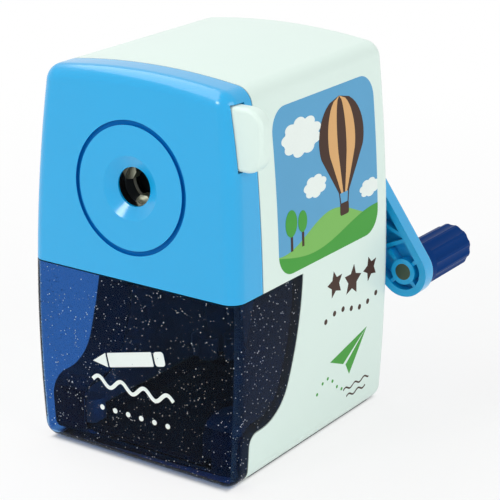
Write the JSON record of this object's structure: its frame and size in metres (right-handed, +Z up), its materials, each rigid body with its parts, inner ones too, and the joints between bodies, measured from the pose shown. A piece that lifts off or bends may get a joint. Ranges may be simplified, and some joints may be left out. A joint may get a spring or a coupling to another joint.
{
  "type": "crank pencil sharpener",
  "caption": "Desk pencil sharpener: white barrel-sided shell, spring-fed pull-out blue face with a clamp button, smoky shavings drawer, rear crank with a fluted knob.",
  "frame": {"origin": "middle of the base plate's underside, on the table", "axes": "+Z up, -Y out of the pencil entry at the front, +X to the right seen from the front"},
  "size_m": [0.0776, 0.1086, 0.108],
  "materials": {
    "white_shell": "gloss, warm studio white with a faint mint cast",
    "sky_plastic": "gloss sky blue",
    "smoke_plastic": "translucent navy with silver flecks",
    "navy_plastic": "gloss navy",
    "inner_plastic": "satin grey",
    "white_acetal": "satin white",
    "steel": "satin",
    "plated_steel": "bright",
    "tool_steel": "ground",
    "bronze": "satin",
    "rubber": "matt",
    "black_plastic": "gloss black"
  },
  "bodies": {
    "housing": {"housing_shell": "white_shell", "base_plate": "inner_plastic", "anti_slip_pads": "rubber", "base_screws": "plated_steel", "bulkhead": "inner_plastic", "bulkhead_screws": "plated_steel", "guide_bushes": "white_acetal", "ring_gear": "white_acetal", "rear_bush": "bronze", "left_feed_spring": "steel", "right_feed_spring": "steel"},
    "crank": {"cutter_carrier": "inner_plastic", "cutter_axle": "steel", "crank_shaft": "steel", "crank_arm": "sky_plastic", "crank_washer": "plated_steel", "crank_screw": "plated_steel", "handle_pin": "steel"},
    "cutter": {"helical_cutter": "tool_steel", "cutter_pinion": "tool_steel"},
    "knob": {"grip_knob": "navy_plastic", "knob_cap": "navy_plastic"},
    "drawer": {"shavings_drawer": "smoke_plastic"},
    "face_carriage": {"face_plate": "sky_plastic", "entry_liner": "black_plastic", "chuck_body": "inner_plastic", "chuck_cover": "steel", "chuck_screws": "plated_steel", "left_guide_rod": "plated_steel", "right_guide_rod": "plated_steel", "rod_clips": "plated_steel", "button_spring": "steel"},
    "clamp_button": {"clamp_button": "white_shell"},
    "cam_ring": {"cam_ring": "white_acetal"},
    "jaw_1": {"chuck_jaw_1": "steel"},
    "jaw_2": {"chuck_jaw_2": "steel"},
    "jaw_3": {"chuck_jaw_3": "steel"}
  },
  "joints": [
    {"name": "crank_spin", "type": "hinge", "parent": "housing", "child": "crank", "pos_m": [0, 0.0387, 0.0775], "axis": [0, 1, 0], "continuous": true},
    {"name": "cutter_spin", "type": "hinge", "parent": "crank", "child": "cutter", "pos_m": [0, 0.04397, 0.0775], "axis": [0, 0.9848, -0.1736], "continuous": true},
    {"name": "knob_spin", "type": "hinge", "parent": "crank", "child": "knob", "pos_m": [0.03638, 0.0581, 0.03896], "axis": [0, 1, 0], "continuous": true},
    {"name": "drawer_slide", "type": "slide", "parent": "housing", "child": "drawer", "axis": [0, -1, 0], "range_m": [0, 0.066]},
    {"name": "face_slide", "type": "slide", "parent": "housing", "child": "face_carriage", "axis": [0, -1, 0], "range_m": [0, 0.03], "stiffness_N_per_m": 180, "springref_m": -0.02, "deforming": ["left_feed_spring", "right_feed_spring"]},
    {"name": "button_press", "type": "slide", "parent": "face_carriage", "child": "clamp_button", "axis": [-1, 0, 0], "range_m": [0, 0.005], "stiffness_N_per_m": 600, "springref_m": -0.003, "deforming": ["button_spring"]},
    {"name": "cam_turn", "type": "hinge", "parent": "face_carriage", "child": "cam_ring", "pos_m": [0, -0.0277, 0.0775], "axis": [0, -1, 0], "range_deg": [0, 16.93]},
    {"name": "jaw_1_slide", "type": "slide", "parent": "face_carriage", "child": "jaw_1", "axis": [0, 0, -1], "range_m": [0, 0.0022]},
    {"name": "jaw_2_slide", "type": "slide", "parent": "face_carriage", "child": "jaw_2", "axis": [0.866, 0, 0.5], "range_m": [0, 0.0022]},
    {"name": "jaw_3_slide", "type": "slide", "parent": "face_carriage", "child": "jaw_3", "axis": [-0.866, 0, 0.5], "range_m": [0, 0.0022]}
  ],
  "couplings": [
    {"joint": "cutter_spin", "follows": "crank_spin", "ratio": -3},
    {"joint": "cam_turn", "follows": "button_press", "rad_per_m": 59.038},
    {"joint": "jaw_1_slide", "follows": "button_press", "ratio": 0.4399},
    {"joint": "jaw_2_slide", "follows": "button_press", "ratio": 0.4399},
    {"joint": "jaw_3_slide", "follows": "button_press", "ratio": 0.4399}
  ]
}
